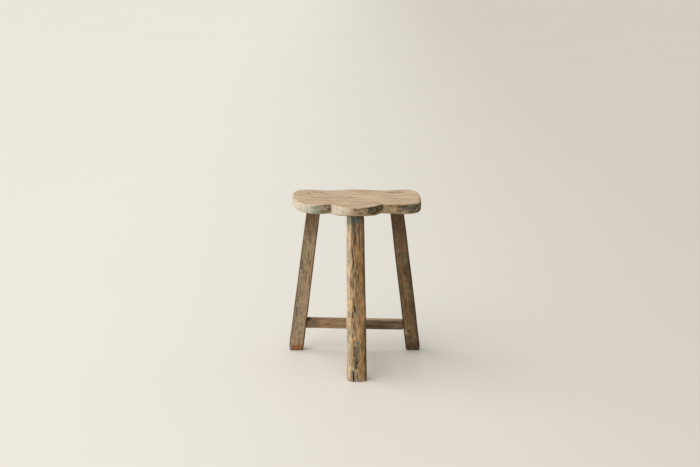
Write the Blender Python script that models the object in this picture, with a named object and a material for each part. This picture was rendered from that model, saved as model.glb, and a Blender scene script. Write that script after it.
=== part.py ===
"""Three-legged wooden milking stool.

A scalloped plank seat stands on three splayed, hewn legs. Each rear leg ends in a shouldered
tenon that passes through the seat and is spread by a wedge; the front leg's tenon stops inside
the plank. A stretcher joins the rear legs, and a centre stretcher runs from its middle to the
front leg, so that the two make a T.

Metres, +Z up, +X to the right seen from the front, +Y towards the back.
The origin is on the floor, under the middle of the stool's box.
"""

import math

import bmesh
import bpy
from mathutils import Vector

# ---- Overall size ----
HEIGHT = 0.455
DEPTH = 0.283
FIT_GAP = 0.0003

# ---- Seat plank ----
SEAT_THICKNESS = 0.027
SEAT_OFFSET_X = 0.0036
SEAT_TOP_ARRIS = 0.004
SEAT_BOTTOM_ARRIS = 0.005
SEAT_BOTTOM = HEIGHT - SEAT_THICKNESS
# The scalloped outline by eye, clockwise from above: (x, y), how far the curve's handle reaches
# before the point and how far after it. The two ends were cut by hand and differ a little.
BACK_BUMP = ((0.0, 0.1195), (-0.028, 0.0), (0.032, 0.0))
RIGHT_DIP = ((0.076, 0.1055), (-0.024, 0.0), (0.016, 0.0))
RIGHT_BACK_LOBE = ((0.131, 0.118), (-0.020, 0.0), (0.030, 0.0))
RIGHT_END = ((0.1695, -0.004), (0.0, 0.094), (0.0, -0.050))
RIGHT_FRONT_LOBE = ((0.115, -0.0700), (0.040, 0.0), (-0.024, 0.0))
RIGHT_NOTCH = ((0.0645, -0.0665), (0.012, -0.001), (-0.006, -0.016))
FRONT_LOBE = ((0.0, -0.118), (0.030, 0.0), (-0.030, 0.0))
LEFT_NOTCH = ((-0.0655, -0.069), (0.006, -0.017), (-0.012, -0.001))
LEFT_FRONT_LOBE = ((-0.107, -0.079), (0.020, 0.0), (-0.030, 0.0))
LEFT_END = ((-0.1675, 0.050), (0.0, -0.085), (0.0, 0.050))
LEFT_BACK_LOBE = ((-0.131, 0.1155), (-0.030, 0.0), (0.020, 0.0))
LEFT_DIP = ((-0.072, 0.106), (-0.018, 0.0), (0.022, 0.0))
SEAT_OUTLINE = (BACK_BUMP, RIGHT_DIP, RIGHT_BACK_LOBE, RIGHT_END, RIGHT_FRONT_LOBE, RIGHT_NOTCH,
                FRONT_LOBE, LEFT_NOTCH, LEFT_FRONT_LOBE, LEFT_END, LEFT_BACK_LOBE, LEFT_DIP)

# ---- Legs: (width across X, thickness along Y) at the floor and at the seat's top face ----
SPLAY_BACK = math.tan(math.radians(7.0))
SPLAY_LEFT = math.tan(math.radians(7.35))
SPLAY_RIGHT = math.tan(math.radians(7.0))
REAR_FOOT_X = 0.1622
REAR_FOOT_SIZE = (0.0405, 0.025)
REAR_TOP_SIZE = (0.0355, 0.023)
FRONT_FOOT_X = 0.0055
FRONT_TOP_X = 0.0008
FRONT_FOOT_SIZE = (0.0525, 0.032)
FRONT_TOP_SIZE = (0.0435, 0.028)
ARRIS = 0.0035
HEWN_FACET = 0.012

# ---- Leg tenons and their wedges ----
REAR_TENON = (0.031, 0.016)
FRONT_TENON = (0.036, 0.020)
BLIND_COVER = 0.008
TENON_ROOT = 0.006
WEDGE_DEPTH = 0.022
WEDGE_THICK_END = 0.0036
WEDGE_THIN_END = 0.0012

# ---- Stretchers ----
STRETCHER_Z = 0.0775
STRETCHER_DROP = 0.0027
STRETCHER_HEIGHT = 0.0270
REAR_STRETCHER_DEPTH = 0.019
CENTRE_STRETCHER_WIDTH = 0.021
REAR_STRETCHER_TENON = (0.011, 0.017)
CENTRE_REAR_TENON = (0.010, 0.013)
CENTRE_FRONT_TENON = (0.013, 0.0205)
STRETCHER_ARRIS = 0.002
CRISP_ANGLE = math.radians(35)

# ---- Pegs ----
PEG_RADIUS = 0.004
CROSS_PEG_RADIUS = 0.003
PEG_PROUD = 0.0015
PEG_STOP = 0.005
PEG_SIDES = 24

# ---- Colours: (red, green, blue), roughness ----
SEAT_WOOD = ((0.58, 0.42, 0.28), 0.72)
REAR_LEG_WOOD = ((0.40, 0.28, 0.17), 0.75)
FRONT_LEG_WOOD = ((0.60, 0.42, 0.24), 0.75)
STRETCHER_WOOD = ((0.30, 0.21, 0.13), 0.78)
PEG_WOOD = ((0.46, 0.33, 0.20), 0.70)


class Leg:
    """A tapered, splayed leg whose every level section is a rectangle along X and Y. Its tenon
    stops a given distance, cover, under the seat's top face."""

    def __init__(self, foot, lean, foot_size, top_size, tenon, facet, cover=0.0):
        self.foot = Vector(foot)
        self.lean = Vector(lean)
        self.foot_size = Vector(foot_size)
        self.top_size = Vector(top_size)
        self.tenon = Vector(tenon)
        self.facet = facet
        self.cover = cover

    def centre(self, z):
        """The middle of the leg at height z, as (x, y)."""
        return self.foot + self.lean * z

    def half_size(self, z):
        """Half the leg's width and half its thickness at height z."""
        return self.foot_size.lerp(self.top_size, z / HEIGHT) / 2

    def corner(self, side_x, side_y, z, size=None):
        """A corner of the section at height z, or of a section of a given size there."""
        half = self.half_size(z) if size is None else Vector(size) / 2
        middle = self.centre(z)
        return Vector((middle.x + side_x * half.x, middle.y + side_y * half.y, z))


def rear_leg(side_x):
    """The left (side -1) or right (side 1) rear leg, splayed outwards and back."""
    foot = (side_x * REAR_FOOT_X, (DEPTH - REAR_FOOT_SIZE[1]) / 2)
    lean = (-SPLAY_RIGHT if side_x > 0 else SPLAY_LEFT, -SPLAY_BACK)
    return Leg(foot, lean, REAR_FOOT_SIZE, REAR_TOP_SIZE, REAR_TENON, ARRIS)


def front_leg():
    """The front leg, splayed forwards, with one broad hewn facet at its front left arris."""
    foot = (FRONT_FOOT_X, (FRONT_FOOT_SIZE[1] - DEPTH) / 2)
    lean = ((FRONT_TOP_X - FRONT_FOOT_X) / HEIGHT, SPLAY_BACK)
    return Leg(foot, lean, FRONT_FOOT_SIZE, FRONT_TOP_SIZE, FRONT_TENON, HEWN_FACET, BLIND_COVER)


LEGS = {"left_rear_leg": rear_leg(-1), "right_rear_leg": rear_leg(1), "front_leg": front_leg()}


# ---- Scene and object helpers ----

def clear_scene():
    """Removes every object, so that the stool stands alone."""
    for obj in list(bpy.data.objects):
        bpy.data.objects.remove(obj, do_unlink=True)


def new_collection(name):
    """A collection linked to the scene."""
    collection = bpy.data.collections.new(name)
    bpy.context.scene.collection.children.link(collection)
    return collection


def wood(name, look):
    """A plain Principled wood of one colour and roughness."""
    colour, roughness = look
    material = bpy.data.materials.new(name)
    material.use_nodes = True
    shader = material.node_tree.nodes["Principled BSDF"]
    shader.inputs["Base Color"].default_value = (*colour, 1.0)
    shader.inputs["Roughness"].default_value = roughness
    shader.inputs["Metallic"].default_value = 0.0
    return material


def mesh_object(bm, name, collection):
    """Turns a bmesh into an object with flat faces pointing out."""
    bmesh.ops.recalc_face_normals(bm, faces=bm.faces)
    mesh = bpy.data.meshes.new(name)
    bm.to_mesh(mesh)
    bm.free()
    obj = bpy.data.objects.new(name, mesh)
    collection.objects.link(obj)
    return obj


def finish_part(obj, look):
    """Parents a sub-part to the stool's empty and gives it its wood. Its rounded arrises shade
    smooth, and anything sharper stays crisp."""
    obj.parent = stool
    obj.data.materials.append(wood(obj.name, look))
    obj.data.shade_smooth()
    obj.data.set_sharp_from_angle(angle=CRISP_ANGLE)


def as_cutter(obj):
    """Keeps a tool shape out of the model."""
    obj.hide_render = True
    obj.display_type = "WIRE"
    return obj


def combine(obj, tool, operation):
    """Adds or takes away a tool shape with an exact Boolean modifier."""
    modifier = obj.modifiers.new(f"{operation.lower()} {tool.name}", "BOOLEAN")
    modifier.operation = operation
    modifier.solver = "EXACT"
    modifier.object = tool


# ---- Shape helpers ----

def block_mesh(corner):
    """A cube whose eight vertices move to corner(side_x, side_y, side_z), each side -1 or 1.
    Returns it with its vertices by their sides."""
    bm = bmesh.new()
    bmesh.ops.create_cube(bm, size=2.0)
    sides = {tuple(round(value) for value in vertex.co): vertex for vertex in bm.verts}
    for side, vertex in sides.items():
        vertex.co = corner(*side)
    return bm, sides


def long_edge(bm, sides, axis, side_a, side_b):
    """The edge that runs along an axis (0, 1 or 2), on the given sides of the other two."""
    ends = []
    for end in (-1, 1):
        side = [side_a, side_b]
        side.insert(axis, end)
        ends.append(sides[tuple(side)])
    return bm.edges.get(ends)


def ease(bm, edges, width, segments):
    """Rounds edges to a width, or cuts them to one facet."""
    bmesh.ops.bevel(bm, geom=edges, offset=width, segments=segments, profile=0.5, affect="EDGES")


def block(name, corner, collection):
    """A six-sided block as an object."""
    bm, _ = block_mesh(corner)
    return mesh_object(bm, name, collection)


def bar(name, corner, axis):
    """A stretcher's bar along an axis, with its four long arrises eased."""
    bm, sides = block_mesh(corner)
    arrises = [long_edge(bm, sides, axis, a, b) for a in (-1, 1) for b in (-1, 1)]
    ease(bm, arrises, STRETCHER_ARRIS, 2)
    return mesh_object(bm, name, parts)


def peg(name, start, end, radius, collection):
    """A round peg from one point to another."""
    run = Vector(end) - Vector(start)
    bm = bmesh.new()
    bmesh.ops.create_cone(bm, cap_ends=True, segments=PEG_SIDES,
                          radius1=radius, radius2=radius, depth=run.length)
    turn = Vector((0, 0, 1)).rotation_difference(run).to_matrix()
    bmesh.ops.rotate(bm, matrix=turn, verts=bm.verts)
    bmesh.ops.translate(bm, vec=(Vector(start) + Vector(end)) / 2, verts=bm.verts)
    return mesh_object(bm, name, collection)


# ---- Seat ----

def seat_blank():
    """The plank sawn to its outline, before its edges are eased and its mortises are cut."""
    curve = bpy.data.curves.new("seat_outline", "CURVE")
    curve.dimensions = "2D"
    curve.fill_mode = "BOTH"
    curve.extrude = SEAT_THICKNESS / 2
    curve.resolution_u = 8
    curve.render_resolution_u = 8
    spline = curve.splines.new("BEZIER")
    spline.bezier_points.add(len(SEAT_OUTLINE) - 1)
    spline.use_cyclic_u = True
    for knot, (point, before, after) in zip(spline.bezier_points, SEAT_OUTLINE):
        place = Vector((point[0] + SEAT_OFFSET_X, point[1], 0.0))
        knot.co = place
        knot.handle_left = place + Vector((*before, 0.0))
        knot.handle_right = place + Vector((*after, 0.0))
    blank = bpy.data.objects.new("seat_outline", curve)
    cutters.objects.link(blank)
    blank.location.z = HEIGHT - SEAT_THICKNESS / 2
    bpy.context.view_layer.update()
    evaluated = blank.evaluated_get(bpy.context.evaluated_depsgraph_get())
    mesh = bpy.data.meshes.new_from_object(evaluated)
    mesh.transform(blank.matrix_world)
    bpy.data.objects.remove(blank)
    return mesh


def ease_rim(bm, z, width, segments):
    """Rounds the arris that runs round the plank at height z."""
    rim = [edge for edge in bm.edges
           if all(abs(vertex.co.z - z) < FIT_GAP for vertex in edge.verts)
           and any(abs(face.normal.z) < 0.5 for face in edge.link_faces)]
    ease(bm, rim, width, segments)


def make_seat():
    """The plank with its rounded rims and its three splayed mortises."""
    bm = bmesh.new()
    bm.from_mesh(seat_blank())
    bmesh.ops.remove_doubles(bm, verts=bm.verts, dist=0.0001)
    flat = [edge for edge in bm.edges
            if all(abs(face.normal.z) > 0.9 for face in edge.link_faces)]
    bmesh.ops.dissolve_edges(bm, edges=flat, use_verts=False)
    bm.normal_update()
    ease_rim(bm, HEIGHT, SEAT_TOP_ARRIS, 2)
    ease_rim(bm, SEAT_BOTTOM, SEAT_BOTTOM_ARRIS, 3)
    seat = mesh_object(bm, "seat", parts)
    for name in LEGS:
        combine(seat, tenon_block(name, FIT_GAP), "DIFFERENCE")
    finish_part(seat, SEAT_WOOD)


# ---- Legs ----

def tenon_block(name, grow):
    """A leg's tenon, or with grow the cutter of its mortise. A through mortise's cutter runs past
    both faces, and a blind one's stops just over the tenon."""
    leg = LEGS[name]
    size = leg.tenon + Vector((grow, grow)) * 2
    low = SEAT_BOTTOM - TENON_ROOT
    past = grow if leg.cover else TENON_ROOT
    high = HEIGHT - leg.cover + (past if grow else 0.0)

    def corner(side_x, side_y, side_z):
        return leg.corner(side_x, side_y, low if side_z < 0 else high, size)

    kind = "mortise" if grow else "tenon"
    return as_cutter(block(f"{name}_{kind}", corner, cutters))


def wedge_block(name, label, grow, collection):
    """The wedge in a leg's tenon, thick end up, or with grow the cutter of its kerf."""
    leg = LEGS[name]
    low = HEIGHT - WEDGE_DEPTH - grow
    high = HEIGHT + (TENON_ROOT if grow else 0.0)
    reach = leg.tenon.y + (2 * TENON_ROOT if grow else 0.0)

    def corner(side_x, side_y, side_z):
        z = low if side_z < 0 else high
        return leg.corner(side_x, side_y, z, (wedge_thickness(HEIGHT - z) + 2 * grow, reach))

    return block(label, corner, collection)


def wedge_thickness(depth):
    """A wedge's thickness at a depth below its thick end."""
    return WEDGE_THICK_END - (WEDGE_THICK_END - WEDGE_THIN_END) * depth / WEDGE_DEPTH


def leg_blank(name):
    """The leg up to its shoulder, with eased arrises; the front left one may be a hewn facet."""
    leg = LEGS[name]
    shoulder = SEAT_BOTTOM - FIT_GAP

    def corner(side_x, side_y, side_z):
        return leg.corner(side_x, side_y, 0.0 if side_z < 0 else shoulder)

    bm, sides = block_mesh(corner)
    facet = long_edge(bm, sides, 2, -1, -1)
    others = [long_edge(bm, sides, 2, *side) for side in ((-1, 1), (1, -1), (1, 1))]
    ease(bm, others, ARRIS, 2)
    ease(bm, [facet], leg.facet, 1 if leg.facet > ARRIS else 2)
    return mesh_object(bm, name, parts)


def make_leg(name, look):
    """A leg with its tenon."""
    leg = leg_blank(name)
    combine(leg, tenon_block(name, 0.0), "UNION")
    finish_part(leg, look)
    return leg


def add_wedge(name, wedge_name, leg_object):
    """Cuts the kerf in a leg's through tenon and adds the wedge that spreads it."""
    kerf = as_cutter(wedge_block(name, f"{name}_kerf", FIT_GAP, cutters))
    combine(leg_object, kerf, "DIFFERENCE")
    finish_part(wedge_block(name, wedge_name, 0.0, parts), PEG_WOOD)


# ---- Rear stretcher ----

def stretcher_z(side_x):
    """Height of the rear stretcher's centre line at an end: it sinks a little to the right."""
    return STRETCHER_Z - side_x * STRETCHER_DROP


def rear_stretcher_y():
    """The rear stretcher's centre plane, in the middle of the rear legs' thickness."""
    return LEGS["right_rear_leg"].centre(STRETCHER_Z).y


def leg_side_x(side_x, z, face):
    """X of a rear leg's inner face (face -1) or outer face (face 1) at height z."""
    leg = LEGS["right_rear_leg" if side_x > 0 else "left_rear_leg"]
    return leg.centre(z).x + side_x * face * leg.half_size(z).x


def grown(size):
    """A mortise's section for a tenon of this section."""
    return (size[0] + 2 * FIT_GAP, size[1] + 2 * FIT_GAP)


def rear_corner(size, face, past):
    """Corners of a block across the rear legs, of section (depth, height), whose ends lie a
    little past each leg's inner face (face -1) or outer face (face 1)."""
    depth, height = size
    y = rear_stretcher_y()

    def corner(side_x, side_y, side_z):
        z = stretcher_z(side_x) + side_z * height / 2
        return Vector((leg_side_x(side_x, z, face) + side_x * past, y + side_y * depth / 2, z))

    return corner


def make_rear_stretcher():
    """The stretcher between the rear legs, with a tenon through each and a mortise in its middle."""
    stretcher = bar("rear_stretcher", rear_corner((REAR_STRETCHER_DEPTH, STRETCHER_HEIGHT), -1, -FIT_GAP), 0)
    tenons = block("rear_stretcher_tenons", rear_corner(REAR_STRETCHER_TENON, 1, 0.0), cutters)
    mortises = block("rear_leg_mortises", rear_corner(grown(REAR_STRETCHER_TENON), 1, TENON_ROOT), cutters)
    combine(stretcher, as_cutter(tenons), "UNION")
    as_cutter(mortises)
    finish_part(stretcher, STRETCHER_WOOD)
    return stretcher, mortises


# ---- Centre stretcher ----

def front_leg_y(z, face):
    """Y of the front leg's back face (face 1) or front face (face -1) at height z."""
    leg = LEGS["front_leg"]
    return leg.centre(z).y + face * leg.half_size(z).y


def centre_x(y):
    """X of the centre stretcher's middle, which runs from the rear stretcher's to the front leg's."""
    front = front_leg_y(STRETCHER_Z, 0)
    rear = rear_stretcher_y()
    return LEGS["front_leg"].centre(STRETCHER_Z).x * (rear - y) / (rear - front)


def centre_corner(size, front, back):
    """Corners of a block along the centre stretcher, of section (width, height), from
    y = front(z) to y = back."""
    width, height = size

    def corner(side_x, side_y, side_z):
        z = STRETCHER_Z + side_z * height / 2
        y = front(z) if side_y < 0 else back
        return Vector((centre_x(y) + side_x * width / 2, y, z))

    return corner


def make_centre_stretcher(front_leg_object, rear_stretcher_object):
    """The stretcher from the rear one to the front leg, tenoned through both."""
    near = rear_stretcher_y() - REAR_STRETCHER_DEPTH / 2
    far = near + REAR_STRETCHER_DEPTH
    inside = (near + front_leg_y(STRETCHER_Z, 1)) / 2
    stretcher = bar("centre_stretcher",
                    centre_corner((CENTRE_STRETCHER_WIDTH, STRETCHER_HEIGHT),
                                  lambda z: front_leg_y(z, 1) + FIT_GAP, near - FIT_GAP), 1)
    blocks = {
        "centre_front_tenon": centre_corner(CENTRE_FRONT_TENON, lambda z: front_leg_y(z, -1), inside),
        "centre_rear_tenon": centre_corner(CENTRE_REAR_TENON, lambda z: inside, far),
        "front_leg_mortise": centre_corner(grown(CENTRE_FRONT_TENON),
                                           lambda z: front_leg_y(z, -1) - TENON_ROOT, inside),
        "rear_stretcher_mortise": centre_corner(grown(CENTRE_REAR_TENON),
                                                lambda z: inside, far + TENON_ROOT),
    }
    tools = {label: as_cutter(block(label, corner, cutters)) for label, corner in blocks.items()}
    combine(stretcher, tools["centre_front_tenon"], "UNION")
    combine(stretcher, tools["centre_rear_tenon"], "UNION")
    combine(front_leg_object, tools["front_leg_mortise"], "DIFFERENCE")
    combine(rear_stretcher_object, tools["rear_stretcher_mortise"], "DIFFERENCE")
    finish_part(stretcher, STRETCHER_WOOD)
    return stretcher


def level_wedge(label, grow, collection):
    """The level wedge in the centre stretcher's front tenon, or with grow the cutter of its kerf."""
    front = front_leg_y(STRETCHER_Z + WEDGE_THICK_END / 2, -1)
    width = CENTRE_FRONT_TENON[0] + (2 * TENON_ROOT if grow else 0.0)
    low = front - (TENON_ROOT if grow else 0.0)
    high = front + WEDGE_DEPTH + grow

    def corner(side_x, side_y, side_z):
        y = low if side_y < 0 else high
        thick = wedge_thickness(y - front) + 2 * grow
        return Vector((centre_x(y) + side_x * width / 2, y, STRETCHER_Z + side_z * thick / 2))

    return block(label, corner, collection)


def make_front_wedge(centre_stretcher_object):
    """The wedge that spreads the centre stretcher's tenon in the front leg."""
    kerf = as_cutter(level_wedge("front_tenon_kerf", FIT_GAP, cutters))
    combine(centre_stretcher_object, kerf, "DIFFERENCE")
    finish_part(level_wedge("front_tenon_wedge", 0.0, parts), PEG_WOOD)


# ---- Pegs ----

def make_peg(name, start, end, radius, hosts):
    """A peg from its proud head to its blind end, and the hole for it in each host."""
    run = (Vector(end) - Vector(start)).normalized()
    hole = peg(f"{name}_hole", Vector(start) - run * TENON_ROOT, Vector(end) + run * FIT_GAP,
               radius + FIT_GAP, cutters)
    as_cutter(hole)
    for host in hosts:
        combine(host, hole, "DIFFERENCE")
    finish_part(peg(name, start, end, radius, parts), PEG_WOOD)


def make_rear_pegs(legs, rear_stretcher_object):
    """A peg driven from behind through each rear leg and the stretcher's tenon in it."""
    for name, side in (("left", -1), ("right", 1)):
        leg = LEGS[f"{name}_rear_leg"]
        z = stretcher_z(side)
        middle = leg.centre(z)
        half = leg.half_size(z).y
        start = (middle.x, middle.y + half + PEG_PROUD, z)
        end = (middle.x, middle.y - half + PEG_STOP, z)
        hosts = (legs[f"{name}_rear_leg"], rear_stretcher_object)
        make_peg(f"{name}_stretcher_peg", start, end, PEG_RADIUS, hosts)


def make_cross_peg(hosts):
    """The upright peg that locks the two stretchers where they cross."""
    y = rear_stretcher_y()
    start = (0.0, y, STRETCHER_Z + STRETCHER_HEIGHT / 2 + PEG_PROUD)
    end = (0.0, y, STRETCHER_Z - STRETCHER_HEIGHT / 2 + PEG_STOP / 2)
    make_peg("centre_stretcher_peg", start, end, CROSS_PEG_RADIUS, hosts)


# ---- Assembly ----

clear_scene()
parts = new_collection("milking_stool")
cutters = new_collection("cutters")
cutters.hide_render = True
stool = bpy.data.objects.new("stool", None)
parts.objects.link(stool)

make_seat()
leg_objects = {
    "left_rear_leg": make_leg("left_rear_leg", REAR_LEG_WOOD),
    "right_rear_leg": make_leg("right_rear_leg", REAR_LEG_WOOD),
    "front_leg": make_leg("front_leg", FRONT_LEG_WOOD),
}
add_wedge("left_rear_leg", "left_leg_wedge", leg_objects["left_rear_leg"])
add_wedge("right_rear_leg", "right_leg_wedge", leg_objects["right_rear_leg"])
rear_stretcher, rear_mortises = make_rear_stretcher()
combine(leg_objects["left_rear_leg"], rear_mortises, "DIFFERENCE")
combine(leg_objects["right_rear_leg"], rear_mortises, "DIFFERENCE")
centre_stretcher = make_centre_stretcher(leg_objects["front_leg"], rear_stretcher)
make_front_wedge(centre_stretcher)
make_rear_pegs(leg_objects, rear_stretcher)
make_cross_peg((rear_stretcher, centre_stretcher))
bpy.context.view_layer.update()
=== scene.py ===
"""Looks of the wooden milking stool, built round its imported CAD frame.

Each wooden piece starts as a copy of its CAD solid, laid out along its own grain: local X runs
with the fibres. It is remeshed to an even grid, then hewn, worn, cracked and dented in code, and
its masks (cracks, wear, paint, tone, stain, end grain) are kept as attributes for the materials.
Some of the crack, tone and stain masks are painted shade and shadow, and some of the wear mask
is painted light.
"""
import math
import random

import bmesh
import bpy
import numpy as np
from mathutils import Matrix, Vector


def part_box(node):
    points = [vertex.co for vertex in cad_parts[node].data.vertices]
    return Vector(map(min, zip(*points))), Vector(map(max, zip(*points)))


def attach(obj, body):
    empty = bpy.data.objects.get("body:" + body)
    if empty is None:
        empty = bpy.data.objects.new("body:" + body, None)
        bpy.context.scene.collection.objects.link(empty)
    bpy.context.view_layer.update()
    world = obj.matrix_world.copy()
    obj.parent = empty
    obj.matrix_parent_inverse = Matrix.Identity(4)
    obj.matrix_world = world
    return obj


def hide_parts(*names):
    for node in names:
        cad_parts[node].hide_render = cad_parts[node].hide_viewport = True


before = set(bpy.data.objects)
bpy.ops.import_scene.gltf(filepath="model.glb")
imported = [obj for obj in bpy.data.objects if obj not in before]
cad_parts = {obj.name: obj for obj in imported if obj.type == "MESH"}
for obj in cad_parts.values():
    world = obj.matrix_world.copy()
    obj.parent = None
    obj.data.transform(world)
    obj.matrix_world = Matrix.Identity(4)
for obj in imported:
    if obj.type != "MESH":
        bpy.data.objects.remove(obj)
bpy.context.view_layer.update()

SEED = 1907
WELD = 0.00001
MASKS = ("crack_and_shade", "worn_and_lit", "paint", "tone", "stain_and_shade", "endgrain")

# ---- Grids: cell size across the grain, and the share a piece's length shrinks to meanwhile ----
SEAT_CELL = 0.0011
LEG_CELL = 0.00095
BAR_CELL = 0.0009
SMALL_CELL = 0.0005
GRAIN_SQUASH = 0.4
SMALL_SQUASH = 0.7

# ---- Colours, linear ----
BARE_SEAT = (0.58, 0.43, 0.29)
CREAM = (0.56, 0.50, 0.395)
MINT = (0.30, 0.335, 0.245)
PAINT = (0.14, 0.195, 0.16)
DARK_PAINT = (0.06, 0.085, 0.072)
SPLIT_AND_SHADE = (0.03, 0.022, 0.015)

# ---- Surface of the wood ----
BUMP_STRENGTH = 0.75
BUMP_DEPTH = 0.0006
WOOD_SPECULAR = 0.28


# ---- Mesh surface of one piece ----

class Surface:
    """A piece's vertices as arrays, in its own axes, with named masks from 0 to 1."""

    def __init__(self, obj):
        self.obj = obj
        mesh = obj.data
        self.points = np.zeros((len(mesh.vertices), 3))
        flat = np.zeros(len(mesh.vertices) * 3, np.float32)
        mesh.vertices.foreach_get("co", flat)
        self.points[:] = flat.reshape(-1, 3)
        pairs = np.zeros(len(mesh.edges) * 2, np.int32)
        mesh.edges.foreach_get("vertices", pairs)
        self.edges = pairs.reshape(-1, 2)
        self.degree = np.bincount(self.edges.ravel(), minlength=len(self.points))
        self.masks = {}
        self.read_normals()

    def read_normals(self):
        """Reads the mesh's normals again."""
        flat = np.zeros(len(self.points) * 3, np.float32)
        self.obj.data.vertices.foreach_get("normal", flat)
        self.normals = flat.reshape(-1, 3).astype(float)

    def write(self):
        """Puts the points back in the mesh and rereads its normals."""
        self.obj.data.vertices.foreach_set("co", self.points.astype(np.float32).ravel())
        self.obj.data.update()
        self.read_normals()

    def spread(self, values, rounds):
        """One value for each vertex, blurred over its neighbours."""
        a, b = self.edges.T
        values = values.copy()
        for _ in range(rounds):
            total = np.bincount(a, values[b], len(values)) + np.bincount(b, values[a], len(values))
            values += 0.6 * (total / self.degree - values)
        return values

    def relaxed(self, rounds):
        """The points after smoothing along the mesh's edges."""
        return np.column_stack([self.spread(axis, rounds) for axis in self.points.T])

    def noise(self, stretch, seed):
        """Smooth noise from -1 to 1, with its frequency along X, Y and Z in cycles a metre."""
        points = self.points * np.array(stretch) + np.array([7.31, 3.17, 5.71]) * seed
        return 0.7 * lattice_noise(points) + 0.3 * lattice_noise(points * 2.1)

    def push(self, amount):
        """Moves every point along its normal."""
        self.points += self.normals * np.asarray(amount)[:, None]

    def mask(self, name, values, where=slice(None)):
        """Raises a named mask to these values where they are higher."""
        held = self.masks.setdefault(name, np.zeros(len(self.points)))
        held[where] = np.clip(np.maximum(held[where], values), 0, 1)

    def facing(self, side):
        """How squarely the surface faces a direction, 0 to 1."""
        return np.clip(self.normals @ np.array(side, float) * 2.2 - 0.8, 0, 1)

    def finish(self):
        """Writes the points and the masks to the mesh and shades it smooth."""
        self.write()
        mesh = self.obj.data
        for name in MASKS:
            values = self.masks.get(name, np.zeros(len(self.points)))
            attribute = mesh.attributes.new(name, "FLOAT", "POINT")
            attribute.data.foreach_set("value", values.astype(np.float32))
        mesh.shade_smooth()


def smoothstep(low, high, values):
    """0 below low, 1 above high, and a soft step between them."""
    share = np.clip((values - low) / (high - low), 0, 1)
    return share * share * (3 - 2 * share)


LATTICE_SIZE = 32
LATTICE = np.random.default_rng(SEED).uniform(-1, 1, (LATTICE_SIZE,) * 3)


def lattice_noise(points):
    """Value noise from -1 to 1 on a unit lattice."""
    cell = np.floor(points).astype(int)
    share = points - cell
    share = share * share * (3 - 2 * share)
    total = np.zeros(len(points))
    for corner in np.ndindex(2, 2, 2):
        i, j, k = ((cell + corner) % LATTICE_SIZE).T
        total += LATTICE[i, j, k] * np.where(corner, share, 1 - share).prod(1)
    return total


# ---- From CAD solid to remeshed piece ----

def axes(origin, grain, across):
    """The matrix of a piece's own axes: X with the grain, Y across, Z square to both."""
    x = Vector(grain).normalized()
    y = Vector(across) - x * x.dot(Vector(across))
    y.normalize()
    z = x.cross(y)
    turn = Matrix((x, y, z)).transposed().to_4x4()
    return Matrix.Translation(origin) @ turn


def end_centre(node, at_top):
    """The middle of a node's highest or lowest face."""
    points = np.array([vertex.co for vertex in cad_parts[node].data.vertices])
    level = points[:, 2].max() if at_top else points[:, 2].min()
    ring = points[abs(points[:, 2] - level) < 0.0005]
    return Vector((ring.min(0) + ring.max(0)) / 2)


def remeshed(node, name, matrix, cell, squash=GRAIN_SQUASH):
    """A copy of a CAD node on an even grid of cells, longer along the grain."""
    blank = bmesh.new()
    blank.from_mesh(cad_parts[node].data)
    bmesh.ops.remove_doubles(blank, verts=blank.verts, dist=WELD)
    blank.transform(Matrix.Diagonal((squash, 1, 1, 1)) @ matrix.inverted())
    mesh = bpy.data.meshes.new(name)
    blank.to_mesh(mesh)
    blank.free()
    obj = bpy.data.objects.new(name, mesh)
    bpy.context.scene.collection.objects.link(obj)
    grid = obj.modifiers.new("even grid", "REMESH")
    grid.mode = "VOXEL"
    grid.voxel_size = cell
    bpy.context.view_layer.update()
    fine = bpy.data.meshes.new_from_object(obj.evaluated_get(bpy.context.evaluated_depsgraph_get()))
    obj.modifiers.clear()
    obj.data = fine
    fine.transform(Matrix.Diagonal((1 / squash, 1, 1, 1)))
    fine.materials.clear()
    obj.matrix_world = matrix
    bpy.context.view_layer.update()
    return Surface(obj)


def place(surface, node, material):
    """Finishes a piece, gives it its wood and lets it stand for its CAD node."""
    surface.finish()
    surface.obj.data.materials.append(material)
    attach(surface.obj, "root")
    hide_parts(node)


# ---- Wear and tear ----

def wear_arrises(surface, rounds, least, most, seed, bare=1.0):
    """Rounds the sharp edges by an uneven amount and marks where they are rubbed bare. The ends
    of the grain keep their length."""
    soft = surface.relaxed(rounds)
    drop = ((surface.points - soft) * surface.normals).sum(1)
    rubbed = surface.noise((24, 60, 60), seed)
    share = least + (most - least) * smoothstep(-0.5, 0.6, rubbed)
    along = surface.points[:, 0]
    from_end = np.minimum(along - along.min(), along.max() - along)
    share *= 0.3 + 0.7 * smoothstep(0.0, 0.012, from_end)
    surface.points += (soft - surface.points) * share[:, None]
    surface.mask("worn_and_lit", bare * smoothstep(0.0001, 0.0006, drop) * smoothstep(-0.4, 0.4, rubbed))
    surface.write()


# How near a leg's end its width there is read
END_REACH = 0.006


def round_corners(surface, low, high, radii):
    """Rounds a leg's long arrises between two heights. radii maps the signs of Y and Z to the
    radius of that corner."""
    x, y, z = surface.points.T
    half = []
    for values in (abs(y), abs(z)):
        widest = [np.percentile(values[abs(x - level) < END_REACH], 99)
                  for level in (low + END_REACH, high - END_REACH)]
        half.append(np.interp(x, (low, high), widest))
    share = smoothstep(low - 0.004, low, x) * (1 - smoothstep(high - END_REACH, high, x))
    for (side_y, side_z), radius in radii.items():
        u = side_y * y - (half[0] - radius)
        v = side_z * z - (half[1] - radius)
        reach = np.hypot(u, v)
        outside = (u > 0) & (v > 0) & (reach > radius)
        pull = np.where(outside, 1 - radius / np.maximum(reach, 1e-6), 0) * share
        surface.points[:, 1] -= side_y * u * pull
        surface.points[:, 2] -= side_z * v * pull
    surface.write()


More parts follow.
